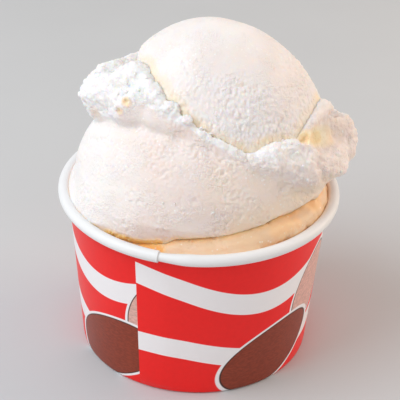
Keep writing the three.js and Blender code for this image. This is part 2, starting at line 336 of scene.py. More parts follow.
@dataclass(frozen=True)
class PrintFinish:
    """Printed board: a red ground with waving white stripes and outlined, rounded shapes."""

    ground: Colour = (0.94, 0.014, 0.012)
    white: Colour = (0.90, 0.865, 0.878)
    outline: Colour = (0.05, 0.016, 0.01)
    repeats: float = 2.6
    soft: float = 0.12 * MM
    halo: float = 0.8 * MM
    line: float = 0.35 * MM
    ink: float = 1.6 * MM
    fibre: float = 0.7 * MM
    fibre_depth: float = 0.01 * MM
    roughness: float = 0.36
    grain: float = 1.4 * MM
    stretch: Place = (1, 1, 2.5)
    stripes: tuple[Stripe, ...] = (
        Stripe(41 * MM, 6.2 * MM, math.radians(-8), 8.2 * MM),
        Stripe(15.5 * MM, 4.0 * MM, math.radians(6), 7.6 * MM),
    )
    pebbles: tuple[Pebble, ...] = (
        Pebble(math.radians(92), 31 * MM, 15 * MM, 9 * MM, math.radians(64), (0.62, 0.36, 0.31)),
        Pebble(
            math.radians(66), 11.5 * MM, 20 * MM, 11 * MM, math.radians(22), (0.22, 0.036, 0.016)
        ),
    )

    def material(self, cup: "CupSizes") -> Material:
        """The printed material.

        Args:
            cup: The cup's sizes, for its axis, its lap and its radius.

        Returns:
            The material.
        """
        net = Shading("printed_board")
        where = net.place(cup.axis)
        parts = [net.add("SeparateXYZ", {0: where}, axis) for axis in "XYZ"]
        azimuth = net.math("ARCTAN2", parts[0], net.math("MULTIPLY", parts[1], -1.0))
        lap = cup.lap_azimuth
        along = net.math("SUBTRACT", net.math("WRAP", azimuth, lap + math.tau, lap), lap)
        ink = net.noise(where, self.ink, 4)
        colour = net.mix(ink, tint(self.ground, 0.9), self.ground)
        for stripe in self.stripes:
            colour = net.mix(self._stripe(net, stripe, along, parts[2]), colour, self.white)
        for pebble in self.pebbles:
            colour = self._pebble(net, pebble, cup.middle_radius, along, parts[2], colour)
        fibres = net.noise(where, self.fibre)
        return net.dress(
            {
                "Base Color": colour,
                "Roughness": self.roughness,
                "Specular IOR Level": 0.3,
                "Normal": net.bump(fibres, self.fibre_depth),
            }
        )

    def _stripe(self, net: Shading, stripe: Stripe, along: Socket, height: Socket) -> Socket:
        """Where a stripe lies: 1 on it, 0 off it.

        Args:
            net: The material's nodes.
            stripe: The stripe.
            along: Turn from the lap's edge.
            height: Height over the foot.

        Returns:
            The stripe's share.
        """
        turned = net.math("SUBTRACT", along, stripe.crest)
        wave = net.math("COSINE", net.math("MULTIPLY", turned, self.repeats))
        middle = net.math("MULTIPLY_ADD", wave, stripe.swing, stripe.height)
        away = net.math("ABSOLUTE", net.math("SUBTRACT", height, middle))
        return self._inside(net, away, stripe.width / 2)

    def _pebble(
        self,
        net: Shading,
        pebble: Pebble,
        radius: float,
        along: Socket,
        height: Socket,
        under: Socket,
    ) -> Socket:
        """Prints a rounded shape, its thin dark outline and its white halo.

        Args:
            net: The material's nodes.
            pebble: The shape.
            radius: The cup's middle radius, which makes a turn a length.
            along: Turn from the lap's edge.
            height: Height over the foot.
            under: The colour below.

        Returns:
            The colour with the shape on it.
        """
        half = math.pi / self.repeats
        turned = net.math("WRAP", net.math("SUBTRACT", along, pebble.along), half, -half)
        x = net.math("MULTIPLY", turned, radius)
        y = net.math("SUBTRACT", height, pebble.height)
        cosine, sine = math.cos(pebble.tilt), math.sin(pebble.tilt)
        long = net.math("MULTIPLY_ADD", x, cosine, net.math("MULTIPLY", y, sine))
        broad = net.math("MULTIPLY_ADD", y, cosine, net.math("MULTIPLY", x, -sine))
        long = net.math("DIVIDE", long, pebble.length)
        broad = net.math("DIVIDE", broad, pebble.breadth)
        squares = net.math("MULTIPLY_ADD", long, long, net.math("MULTIPLY", broad, broad))
        past = net.math("SUBTRACT", net.math("SQRT", squares), 1.0)
        away = net.math("MULTIPLY", past, pebble.breadth)
        grain = net.noise(net.place(scale=self.stretch), self.grain, 5)
        light = tint(pebble.colour, 1.35)
        body = net.mix(net.ramp(grain, 0.35, 0.7), pebble.colour, light)
        colour = net.mix(self._inside(net, away, self.halo), under, self.white)
        colour = net.mix(self._inside(net, away, 0.0), colour, self.outline)
        return net.mix(self._inside(net, away, -self.line), colour, body)

    def _inside(self, net: Shading, away: Socket, edge: float) -> Socket:
        """1 within an edge, 0 outside it."""
        return net.fall(away, edge - self.soft, edge + self.soft)


@dataclass(frozen=True)
class GelatoFinish:
    """Frozen gelato: pale, dense and softly lit from inside, with warmer painted shade where it is
    shut in and painted white for frost and light.
    """

    name: str
    cream: Colour
    pale: Colour
    # Painted white, for frost and for light on the lit side.
    frost: Colour
    # Painted shade: a colour for creases, and a darker orange for spots shut in on every side.
    crease_shade: Colour
    deep_shade: Colour
    depth: float = 1.1 * MM
    scatter: Colour = (1.0, 0.8, 0.62)
    roughness: float = 0.5
    cloud: float = 13 * MM
    crystal: float = 0.6 * MM
    crystal_depth: float = 0.25 * MM
    crystal_patch: float = 7 * MM
    grain: float = 0.35 * MM
    grain_depth: float = 0.08 * MM
    # Flecks: whitish ice crystals that also stand in for glints, painted highlights.
    fleck: float = 1.3 * MM
    fleck_patch: float = 5 * MM
    fleck_glint_colour: Colour = (0.96, 0.95, 0.94)
    wet_patch: float = 3 * MM

    def material(self) -> Material:
        """The gelato's material.

        Returns:
            The material.
        """
        net = Shading(self.name)
        where = net.place()
        cloud = net.ramp(net.noise(where, self.cloud), 0.3, 0.7)
        colour = net.mix(cloud, self.cream, self.pale)
        # The attribute: painted shade above 0, painted white for frost and light below 0.
        painted_shade_and_light = net.add("Attribute", {}, "Fac", attribute_name=PAINTED_SHADE_AND_LIGHT)
        # Painted white for frost and light where the attribute is below 0.
        frosted_and_lit = net.ramp(net.math("MULTIPLY", painted_shade_and_light, -1.0), 0.05, 0.7)
        colour = net.mix(frosted_and_lit, colour, self.frost)
        # Painted shade: warmer colour in creases, darker orange where shut in.
        colour = net.mix(net.ramp(painted_shade_and_light, 0.0, 0.7), colour, self.crease_shade)
        colour = net.mix(net.ramp(painted_shade_and_light, 0.65, 1.0), colour, self.deep_shade)
        # Painted highlights: whitish flecks of ice in place of glints.
        grain = net.add("TexVoronoi", {"Vector": where, "Scale": 1 / self.fleck}, "Distance")
        sparse = net.ramp(net.noise(where, self.fleck_patch), 0.5, 0.66)
        fleck = net.math("MULTIPLY", sparse, 0.7)
        fleck = net.math("MULTIPLY", net.fall(grain, 0.12, 0.3), fleck)
        wet = net.ramp(net.noise(where, self.wet_patch), 0.35, 0.75)
        shine = {0: wet, 3: self.roughness + 0.12, 4: self.roughness - 0.1}
        pits = net.add("TexVoronoi", {"Vector": where, "Scale": 1 / self.crystal}, "Distance")
        patch = net.ramp(net.noise(where, self.crystal_patch), 0.42, 0.62)
        coarse = net.bump(net.math("MULTIPLY", pits, patch), self.crystal_depth)
        return net.dress(
            {
                "Base Color": net.mix(fleck, colour, self.fleck_glint_colour),
                "Subsurface Weight": 1.0,
                "Subsurface Radius": self.scatter,
                "Subsurface Scale": self.depth,
                "Specular IOR Level": 0.4,
                "Roughness": net.add("MapRange", shine),
                "Normal": net.bump(net.noise(where, self.grain), self.grain_depth, coarse),
            }
        )


WHITE_GELATO = GelatoFinish(
    name="white_gelato",
    cream=(0.88, 0.80, 0.77),
    pale=(0.89, 0.835, 0.82),
    frost=(0.88, 0.852, 0.843),
    crease_shade=(0.95, 0.76, 0.55),
    deep_shade=(0.95, 0.60, 0.24),
)
# Painted shade: a darker, pinker copy of the white gelato for the lower scoop, which lies more in
# shade.
SHADED_WHITE_GELATO = replace(
    WHITE_GELATO,
    name="shaded_white_gelato",
    cream=(0.835, 0.72, 0.673),
    pale=(0.86, 0.778, 0.745),
)
CUSTARD_GELATO = GelatoFinish(
    name="custard_gelato",
    cream=(0.83, 0.60, 0.40),
    pale=(0.85, 0.65, 0.47),
    frost=(0.90, 0.74, 0.58),
    crease_shade=(0.95, 0.60, 0.31),
    deep_shade=(0.93, 0.46, 0.13),
    crystal_depth=0.12 * MM,
)


@dataclass(frozen=True)
class FloorFinish:
    """A plain pale grey surface."""

    colour: Colour = (0.58, 0.59, 0.603)
    cloud: float = 60 * MM

    def material(self) -> Material:
        """The floor's material.

        Returns:
            The material.
        """
        net = Shading("pale_floor")
        cloud = net.noise(net.place(), self.cloud, 6)
        colour = net.mix(cloud, tint(self.colour, 0.94), self.colour)
        return net.dress({"Base Color": colour, "Roughness": 0.8})


# ---- The paper cup ----


@dataclass(frozen=True)
class CupSizes:
    """The cup's sizes: the outer ones are read from the frame, the rest are a paper cup's own."""

    axis: Vector
    rim_radius: float
    height: float
    floor: float
    foot_radius: float = 38 * MM
    board: float = 0.5 * MM
    roll_radius: float = 1.9 * MM
    hem_height: float = 5 * MM
    hem_gap: float = 0.6 * MM
    lap_azimuth: float = math.radians(-26)
    lap_span: float = math.radians(10.9)

    @classmethod
    def from_frame(cls) -> "CupSizes":
        """Reads the cup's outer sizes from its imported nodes.

        Returns:
            The sizes.
        """
        low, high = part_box("cup_wall")
        axis = Vector(((low.x + high.x) / 2, (low.y + high.y) / 2, 0))
        return cls(axis, (high.x - low.x) / 2, high.z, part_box("cup_bottom")[1].z)

    @property
    def roll_centre(self) -> float:
        """Radius of the middle of the rolled rim."""
        return self.rim_radius - self.roll_radius

    @property
    def wall_top(self) -> float:
        """Height of the middle of the rolled rim, where the wall ends."""
        return self.height - self.roll_radius

    @property
    def middle_radius(self) -> float:
        """Radius of the wall at half its height."""
        return self.outer(self.height / 2)

    def outer(self, height: float) -> float:
        """Radius of the wall's outer face at a height."""
        top = self.roll_centre - self.roll_radius + self.board
        return self.foot_radius + (top - self.foot_radius) * height / self.wall_top


def strand(places: Sequence[tuple[float, float]], axis: Vector) -> tuple[Shape, list]:
    """Starts a bmesh from a line of [radius, height] places in front of an axis.

    Args:
        places: The places along the line.
        axis: The axis, as a point at the frame's own level.

    Returns:
        The bmesh, and its vertices and edges.
    """
    shape = bmesh.new()
    verts = [shape.verts.new(axis + Vector((0, -radius, height))) for radius, height in places]
    edges = [shape.edges.new(pair) for pair in zip(verts, verts[1:])]
    return shape, [*verts, *edges]


def turn(
    shape: Shape, line: list, axis: Vector, angle: float, steps: int, close: bool = False
) -> list:
    """Spins a line round the cup's axis, and gives the vertices and edges of its last place."""
    done = bmesh.ops.spin(
        shape, geom=line, cent=axis, axis=(0, 0, 1), angle=angle, steps=steps, use_merge=close
    )
    return done["geom_last"]


def face_out(shape: Shape, way: Callable[[Vector], Vector]) -> None:
    """Turns all of a sheet's faces outwards.

    Args:
        shape: The bmesh that holds the sheet.
        way: Gives the outward direction at a place, or nothing where the place doesn't tell.
    """
    bmesh.ops.recalc_face_normals(shape, faces=shape.faces)
    if sum(face.normal.dot(way(face.calc_center_median())) for face in shape.faces) < 0:
        bmesh.ops.reverse_faces(shape, faces=shape.faces)


def thicken(
    name: str, shape: Shape, board: float, *materials: Material, **settings: object
) -> Thing:
    """Makes a sheet's outer face a piece of board.

    Args:
        name: The piece's name.
        shape: The face, which is freed.
        board: The board's thickness.
        *materials: The piece's materials.
        **settings: Other properties of the modifier that gives the thickness.

    Returns:
        The piece.
    """
    sheet = make(name, shape)
    for material in materials:
        sheet.data.materials.append(material)
    apply(sheet, "SOLIDIFY", thickness=board, offset=-1, **settings)
    sheet.data.shade_smooth()
    sheet.data.set_sharp_from_angle(angle=SHARP)
    return sheet


@dataclass
class PaperSidewall:
    """The wrapped sheet: its hem, its wall and its rolled rim, all one strip of board."""

    cup: CupSizes
    step: float = math.radians(1.5)
    settle_turn: float = math.radians(13.1)  # over which the upper layer comes down past the lap
    slack: float = 0.02 * MM
    fold_rise: float = 0.9 * MM
    wall_start: float = 3.2 * MM
    wall_steps: int = 12
    roll_turn: float = 385  # degrees from the wall's top to the roll's free end
    roll_steps: int = 28
    roll_tightening: float = 0.36

    def profile(self) -> list[tuple[float, float]]:
        """The printed face of the sheet, as [radius, height] from the hem's edge to the roll's end.

        Returns:
            The places.
        """
        cup = self.cup
        hem = [cup.outer(z) - 3 * cup.board - cup.hem_gap for z in (cup.hem_height, 0)]
        fold_middle = (hem[1] + cup.outer(0)) / 2
        fold = (cup.outer(0) - hem[1]) / 2
        rise = self.fold_rise
        places = [(hem[0], cup.hem_height), ((hem[0] + hem[1]) / 2, cup.hem_height / 2)]
        for i in range(9):
            angle = math.pi * (1 + i / 8)
            places.append((fold_middle + fold * math.cos(angle), rise + rise * math.sin(angle)))
        span = cup.wall_top - self.wall_start
        heights = [self.wall_start * share for share in (0.5, 0.75, 1)]
        heights += [self.wall_start + span * i / self.wall_steps for i in range(1, self.wall_steps)]
        places += [(cup.outer(z), z) for z in heights]
        for i in range(self.roll_steps + 1):
            turned = self.roll_turn * i / self.roll_steps
            tight = 1 - self.roll_tightening * ease(240, self.roll_turn, turned)
            curl = (cup.roll_radius - cup.board) * tight
            angle = math.pi - math.radians(turned)
            radius = cup.roll_centre + curl * math.cos(angle)
            places.append((radius, cup.wall_top + curl * math.sin(angle)))
        return places

    def build(self) -> Thing:
        """Spins the sheet, lays its ends over each other and gives it its thickness.

        Returns:
            The sidewall.
        """
        cup = self.cup
        shape, line = strand(self.profile(), cup.axis)
        bmesh.ops.rotate(
            shape, verts=shape.verts, cent=cup.axis, matrix=Matrix.Rotation(cup.lap_azimuth, 3, "Z")
        )
        over = cup.lap_span + self.settle_turn
        last = turn(shape, line, cup.axis, over, round(over / self.step))
        upper = list(shape.verts)
        rest = math.tau - over
        last = turn(shape, last, cup.axis, rest, round(rest / self.step))
        before = set(shape.verts)
        turn(shape, last, cup.axis, cup.lap_span, round(cup.lap_span / self.step))
        lower = [vert for vert in shape.verts if vert not in before]
        face_out(shape, lambda place: (place - cup.axis) * self._on_wall(place.z))
        shape.normal_update()
        shifts = [(vert, vert.normal * self._lift(vert.co)) for vert in upper]
        shifts += [(vert, vert.normal * self._sink(vert.co)) for vert in lower]
        for vert, shift in shifts:
            vert.co += shift
        faces = (PrintFinish().material(cup), BoardFinish().material(cup))
        inner = {"material_offset": 1, "material_offset_rim": 1}
        sheet = thicken("paper_sidewall", shape, cup.board, *faces, use_even_offset=True, **inner)
        publish(sheet, Slot.PRINTED_BOARD, "cup_wall")
        return sheet

    def _past_lap(self, place: Vector) -> float:
        """Turn from the lap's edge to a place, in radians."""
        azimuth = math.atan2(place.x - self.cup.axis.x, -(place.y - self.cup.axis.y))
        return (azimuth - self.cup.lap_azimuth + 1e-4) % math.tau

    def _on_wall(self, height: float) -> float:
        """1 where the sheet is plain wall, clear of the hem and the roll, and 0 elsewhere."""
        return float(2 * self.cup.hem_height < height < 0.7 * self.cup.wall_top)

    def _standing(self, height: float) -> float:
        """How far the upper layer takes up the lap's thickness, which it doesn't at the fold."""
        return ease(0.8 * MM, 3 * MM, height)

    def _lift(self, place: Vector) -> float:
        """How far the upper layer is raised at a place."""
        past = self._past_lap(place)
        down = ease(self.cup.lap_span, self.cup.lap_span + self.settle_turn, past)
        return (self.cup.board + self.slack) * self._standing(place.z) * (1 - down)

    def _sink(self, place: Vector) -> float:
        """How far the lower layer is drawn in at a place, next to the foot's fold."""
        return -(self.cup.board + self.slack) * (1 - self._standing(place.z))


@dataclass
class PaperBottom:
    """The raised bottom disc, with its skirt turned down inside the wall."""

    cup: CupSizes
    gap: float = 0.3 * MM
    skirt_foot: float = 0.8 * MM
    bend: float = 0.8 * MM
    centre: float = 0.01 * MM  # radius of the hole that the spin leaves, which is then merged

    def build(self) -> Thing:
        """Spins the disc and its skirt, and gives them their thickness.

        Returns:
            The bottom.
        """
        cup = self.cup
        places = [(self.centre, cup.floor), (cup.outer(0) * 0.55, cup.floor)]
        edge = cup.outer(cup.floor) - cup.board - self.gap - self.bend
        level = cup.floor - self.bend
        for i in range(6):
            angle = math.pi / 2 * (1 - i / 5)
            places.append((edge + self.bend * math.cos(angle), level + self.bend * math.sin(angle)))
        places.append((cup.outer(self.skirt_foot) - cup.board - self.gap, self.skirt_foot))
        shape, line = strand(places, cup.axis)
        turn(shape, line, cup.axis, math.tau, 180, close=True)
        centre = [vert for vert in shape.verts if (vert.co - cup.axis).xy.length < 2 * self.centre]
        bmesh.ops.pointmerge(shape, verts=centre, merge_co=cup.axis + Vector((0, 0, cup.floor)))
        face_out(shape, lambda place: Vector((0, 0, 1)))
        material = BoardFinish(name="bottom_board").material(cup)
        disc = thicken("paper_bottom", shape, cup.board, material)
        publish(disc, Slot.WHITE_BOARD, "cup_bottom")
        return disc


# ---- The gelato ----


@dataclass(frozen=True)
class Zone:
    """A soft-edged region along a path, in millimetres."""

    path: tuple[Place, ...]
    radius: float
    strength: float = 1.0

    def share(self, place: Vector) -> float:
        """How much a spot belongs to the zone: its strength on the path, and 0 at its radius."""
        away = min(self._away(place, *ends) for ends in zip(self.path, self.path[1:] or self.path))
        return self.strength * (1 - ease(0.3 * self.radius, self.radius, away))

    def _away(self, place: Vector, start: Place, end: Place) -> float:
        """Distance in millimetres between a spot and a straight stretch of the path."""
        spot, first, line = place / MM, Vector(start), Vector(end) - Vector(start)
        if line.length_squared == 0:
            return (spot - first).length
        along = min(1.0, max(0.0, (spot - first).dot(line) / line.length_squared))
        return (spot - first - line * along).length


@dataclass(frozen=True)
class Stroke(Zone):
    """One stroke of a sculptor's tool. Its strength is how far it pushes, in millimetres.

    The push goes along the heading, or outwards from the surface where there is none.
    """

    heading: Place | None = None

    def shift(self, place: Vector, normal: Vector) -> Vector:
        """How the stroke moves a spot, in metres."""
        way = Vector(self.heading).normalized() if self.heading else normal
        return way * (MM * self.share(place))


@dataclass(frozen=True)
class Rope:
    """Gelato laid on in a rope, drawn through balls of (x, y, z, radius) in millimetres."""

    balls: tuple[Station, ...]
    pace: float = 0.4

    @classmethod
    def round_cup(cls, axis: Vector, stations: Sequence[Station]) -> "Rope":
        """A rope round the cup.

        Args:
            axis: The cup's axis.
            stations: Tuples of azimuth in degrees from the front, and distance from the axis,
                height and the ball's radius in millimetres.

        Returns:
            The rope.
        """
        balls = []
        for azimuth, away, height, radius in stations:
            turned = math.radians(azimuth)
            x, y = axis.x / MM + away * math.sin(turned), axis.y / MM - away * math.cos(turned)
            balls.append((x, y, height, radius))
        return cls(tuple(balls))

    def lean(self, neighbour: BVHTree, share: float = 0.3) -> "Rope":
        """The same rope, leant on a neighbour so that no sharp groove is left between them.

        Args:
            neighbour: What it leans on.
            share: How far a ball's middle then stands from the neighbour, as a share of its radius.

        Returns:
            The rope, whose outer side stays where it is.
        """
        balls = []
        for x, y, z, radius in self.balls:
            middle, grown = Vector((x, y, z)), radius
            near, out = neighbour.find_nearest(middle * MM)[:2]
            away = (middle - near / MM).dot(out)
            if share * radius < away < 1.2 * radius:
                grown = (away + radius) / (1 + share)
                middle = near / MM + out * (share * grown)
            balls.append((*middle, grown))
        return replace(self, balls=tuple(balls))

    def lay(self, shape: Shape) -> None:
        """Adds the rope's balls to a shape, close enough to merge when it is meshed evenly.

        Args:
            shape: The bmesh that gets them.
        """
        for start, end in zip(self.balls, self.balls[1:] or self.balls):
            gap = (Vector(end[:3]) - Vector(start[:3])).length
            steps = max(1, math.ceil(gap / (self.pace * min(start[3], end[3]))))
            for i in range(steps + 1):
                x, y, z, radius = (a + (b - a) * i / steps for a, b in zip(start, end))
                lie = Matrix.Translation(Vector((x, y, z)) * MM)
                bmesh.ops.create_icosphere(shape, subdivisions=2, radius=radius * MM, matrix=lie)


def lumps(place: Vector, size: float) -> float:
    """Rounded grains of a size in metres: 0.5 at their middles, about -0.5 in the gaps."""
    away = noise.voronoi(place / size)[0][0]
    return 0.5 - 1.1 * away * away


def pits(place: Vector, size: float) -> float:
    """Fine frost pits: grains that leave the surface at its level."""
    return lumps(place, size) - 0.15


def patchy(place: Vector, size: float, low: float, high: float) -> float:
    """Cloudy patches of a size in metres: 0 where the noise is below low, 1 above high."""
    return ease(low, high, noise.noise(place / size + Vector((3.1, 5.7, 1.3))))


@dataclass
class Gelato:
    """A mass of gelato: a finely meshed copy of its solid, with relief worked into it."""

    node: str
    name: str
    slot: Slot
    finish: GelatoFinish
    pitch: float
    ropes: tuple[Rope, ...] = ()
    strokes: tuple[Stroke, ...] = ()
    # Painted shade: zones of it, and next to a neighbour within the glow distance at glow_strength.
    painted_shade_zones: tuple[Zone, ...] = ()
    glow: float = 0.0
    glow_strength: float = 0.6
    shade: tuple[float, float] = (0.35, 0.95)
    ray_start: float = 0.25 * MM
    ray_length: float = 70 * MM  # past the far side of any neighbour
    near_wall: float = 14 * MM
    overlap: float = 0.1 * MM  # how far it is pressed past touching
    passes: int = 10
    most_triangles: int = 190000
    piece: Thing = field(init=False)

    def form(self) -> None:
        """Meshes the solid and its ropes as one, smooths its facets and works in the relief."""
        shape = bmesh.new()
        shape.from_mesh(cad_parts[self.node].data)
        bmesh.ops.remove_doubles(shape, verts=shape.verts, dist=0.001 * MM)
        for rope in self.ropes:
            rope.lay(shape)
        self.piece = make(self.name, shape)
        apply(self.piece, "REMESH", mode="VOXEL", voxel_size=self.pitch)
        apply(self.piece, "SMOOTH", factor=0.5, iterations=self.passes)
        self._work(self.sculpt)
        self._work(self.relief)
        self.piece.data.shade_smooth()
        self.piece.data.materials.append(self.finish.material())

    def _work(self, shift: Callable[[Vector, Vector], Vector]) -> None:
        """Moves every vertex by a function of its place and normal.

        Args:
            shift: Gives a vertex's movement.
        """
        shape = bmesh.new()
        shape.from_mesh(self.piece.data)
        shape.normal_update()
        moves = [shift(vert.co, vert.normal) for vert in shape.verts]
        for vert, move in zip(shape.verts, moves):
            vert.co += move
        shape.to_mesh(self.piece.data)
        shape.free()

    def sculpt(self, place: Vector, normal: Vector) -> Vector:
        """The movement that all the strokes give a spot."""
        return sum((stroke.shift(place, normal) for stroke in self.strokes), Vector())

    def relief(self, place: Vector, normal: Vector) -> Vector:
        """The surface's own unevenness at a spot: broad swells."""
        return normal * (0.3 * MM * noise.noise(place / (13 * MM)))

    def frost(self, place: Vector) -> float:
        """How white a spot is painted, from 0 to 1, for frost and light."""
        return 0.0

    def press(self, neighbours: BVHTree, reach: float, where: Zone | None = None) -> None:
        """Draws the piece onto its neighbours, so that no gap shows between them.

        Args:
            neighbours: What it lies against.
            reach: How near a spot has to be.
            where: The zone in which it does so, or None for all of it.
        """

        def shift(place: Vector, normal: Vector) -> Vector:
            """The movement of a spot towards the nearest neighbour, if it stands clear of it."""
            near, out, _, away = neighbours.find_nearest(place, reach)
            if near is None or (place - near).dot(out) <= 0:
                return Vector()
            share = 1 - ease(0.55 * reach, reach, away)
            if where is not None:
                share *= where.share(place)
            return (near - place) * (share * (1 + self.overlap / away))

        self._work(shift)

    def paint_shade_and_light(self, everything: BVHTree, neighbours: BVHTree, rays: Sequence[Vector]) -> None:
        """Marks each spot's painted shade, where it is shut in, near a neighbour or in a zone of
        painted shade, and its painted white for frost and light.

        Args:
            everything: All that stands round the spots.
            neighbours: The pieces near which it gets painted shade.
            rays: Directions over the upper half of a sphere.
        """
        data = self.piece.data
        shares, shut_in = [], set()
        for vert in data.vertices:
            turned = Vector((0, 0, 1)).rotation_difference(vert.normal)
            start = vert.co + vert.normal * self.ray_start
            walls = [everything.ray_cast(start, turned @ ray, self.ray_length)[3] for ray in rays]
            if None not in walls:
                shut_in.add(vert.index)
            # Painted shade: the more rays meet something near, the more shade colour.
            hits = sum(wall is not None and wall < self.near_wall for wall in walls)
            share = 0.7 * ease(*self.shade, hits / len(rays))
            # Painted shade next to a neighbour, in patches.
            if self.glow:
                away = neighbours.find_nearest(vert.co, self.glow)[3]
                if away is not None:
                    patch = 0.75 + 0.5 * noise.noise(vert.co / (4 * MM))
                    share = max(share, self.glow_strength * patch * (1 - ease(0, self.glow, away)))
            share = min(1.0, max([share, *(zone.share(vert.co) for zone in self.painted_shade_zones)]))
            # Painted white for frost and light, only where little shade is painted.
            shares.append(share - self.frost(vert.co) * max(0.0, 1 - 3 * share))
        layer = data.attributes.new(PAINTED_SHADE_AND_LIGHT, "FLOAT", "POINT")
        layer.data.foreach_set("value", shares)
        self._mark_hidden(shut_in)

    def _mark_hidden(self, shut_in: set[int], margin: int = 4) -> None:
        """Puts the vertices that nobody can see into the group that may be thinned.

        Args:
            shut_in: The vertices with something on every side.
            margin: How many vertices at the edge of each patch are left out.
        """
        pairs = [tuple(edge.vertices) for edge in self.piece.data.edges]
        for _ in range(margin):
            shut_in = shut_in - {i for pair in pairs if not shut_in.issuperset(pair) for i in pair}
        self.piece.vertex_groups.new(name="hidden").add(sorted(shut_in), 1.0, "REPLACE")

    def thin(self) -> None:
        """Thins the mesh where nothing of it can be seen, and leaves the rest as it is."""
        share = self.most_triangles / triangles(self.piece)
        if share < 1:
            apply(self.piece, "DECIMATE", ratio=share, vertex_group="hidden")
        self.piece.vertex_groups.clear()


@dataclass
class UpperScoop(Gelato):
    """The tall dome: smooth where the scoop slid, streaked and pitted towards its foot."""

    def relief(self, place: Vector, normal: Vector) -> Vector:
        """Broad unevenness, upright drag streaks, and frost pits that grow towards the foot."""
        drawn = Vector((place.x, place.y, place.z / 1.8))
        low = 1 - ease(97 * MM, 113 * MM, place.z)
        patch = 0.35 + 0.65 * patchy(place, 9 * MM, -0.5, 0.4)
        streaks = 0.2 * low * patch * noise.noise(drawn / (1.3 * MM))
        pitted = 0.75 * (0.08 + 0.92 * low) * patch * pits(drawn, 0.9 * MM)
        return super().relief(place, normal) + normal * ((streaks + pitted) * MM)


@dataclass
class LowerScoop(Gelato):
    """The wide scoop, pitted below and torn into crumbly lumps along its upper edge.

    The stations are azimuths in degrees with the depth of the torn band below the crest, in
    millimetres, and how rough it is.
    """

    axis: Vector = field(default_factory=Vector)
    fall: float = -0.51
    lowest_tear: float = 55 * MM
    torn: tuple[Station, ...] = (
        (-140, 6, 0.4), (-118, 10, 0.8), (-92, 17, 1.0), (-66, 13, 1.0), (-42, 5, 0.8),
        (-12, 2.5, 0.7), (26, 3, 0.6), (41, 10, 0.9), (57, 14, 1.0), (68, 17, 1.0),
        (80, 19, 1.0), (92, 17, 1.0), (106, 13, 0.9), (122, 9, 0.6), (150, 6, 0.4),
    )
    torn_zones: tuple[Zone, ...] = ()
    calm_zones: tuple[Zone, ...] = ()
    crest: list[float] = field(default_factory=list)
    sector: float = 5.0

    def azimuth(self, place: Vector) -> float:
        """Angle of a place from the front, in degrees, positive to the right."""
        return math.degrees(math.atan2(place.x - self.axis.x, -(place.y - self.axis.y)))

    def level(self, place: Vector) -> float:
        """Height of a place over the falling plane that the torn edge follows."""
        return place.z - self.fall * (place.x - self.axis.x)

    def find_crest(self) -> None:
        """Measures the torn edge's level in sectors round the cup."""
        count = round(360 / self.sector)
        self.crest = [-1.0] * count
        for vert in self.piece.data.vertices:
            sector = int((self.azimuth(vert.co) + 180) / self.sector) % count
            self.crest[sector] = max(self.crest[sector], self.level(vert.co))

    def tornness(self, place: Vector) -> float:
        """How craggy the surface is at a place, from 0 to 1."""
        calm = max([0.0, *(zone.share(place) for zone in self.calm_zones)])
        return self.band(place) * (1 - calm)

    def band(self, place: Vector) -> float:
        """How much a place belongs to the torn band, from 0 to 1."""
        if place.z < self.lowest_tear:
            return 0.0
        if not self.crest:
            self.find_crest()
        azimuth = self.azimuth(place)
        at = (azimuth + 180) / self.sector - 0.5
        share = at - math.floor(at)
        count = len(self.crest)
        edges = [self.crest[(math.floor(at) + i) % count] for i in (0, 1)]
        below = edges[0] + (edges[1] - edges[0]) * share - self.level(place)
        depth = around(self.torn, azimuth, 1) * MM
        wander = 1 + 0.5 * noise.noise(place / (5 * MM))
        share = around(self.torn, azimuth, 2) * (1 - ease(0.6 * depth, depth * wander, below))
        return max([share, *(zone.share(place) for zone in self.torn_zones)])

    def frost(self, place: Vector) -> float:
        """How white a spot is painted: on the left, painted light where the key light falls; on the
        torn band, its frost and painted light, less on the shaded right.
        """
        # Painted light: whiter towards the left, where the key light falls.
        left = 0.45 * (1 - ease(-36 * MM, -4 * MM, place.x - self.axis.x))
        # Painted shade: the torn band's white fades towards the right, which lies in shade.
        right = ease(10 * MM, 40 * MM, place.x - self.axis.x)
        return max(left, self.band(place) * (1.0 - 0.7 * right))

    def relief(self, place: Vector, normal: Vector) -> Vector:
        """Crumbly lumps on the torn band, and frost pits on the smooth body."""
        torn = self.tornness(place)
        crags = 0.0
        if torn > 0:
            bent = place + noise.noise_vector(place / (2.5 * MM)) * (0.6 * MM)
            crags = 0.8 * lumps(bent, 3.1 * MM) + 0.6 * lumps(bent, 1.7 * MM)
            crags = max(-0.35, crags + 0.5 * lumps(place, 1.0 * MM) - 0.3)
        patch = 0.25 + 0.75 * patchy(place, 8 * MM, -0.2, 0.3)
        pitted = 0.6 * patch * (1 - torn) * pits(place, 1.0 * MM)
        return super().relief(place, normal) + normal * ((torn * crags + pitted) * MM)


@dataclass
class Filling(Gelato):
    """The custard-coloured mass in the cup, smeared smooth where it shows."""

    def relief(self, place: Vector, normal: Vector) -> Vector:
        """Soft smears and fine frost across the top; the hidden sides stay plain."""
        shown = ease(46 * MM, 50 * MM, place.z)
        smear = Vector((place.x / 6, place.y / 2.5, place.z / 2.5)) / MM
        height = 0.3 * noise.noise(smear) + 0.25 * pits(place, 1.4 * MM)
        return normal * (shown * height * MM)


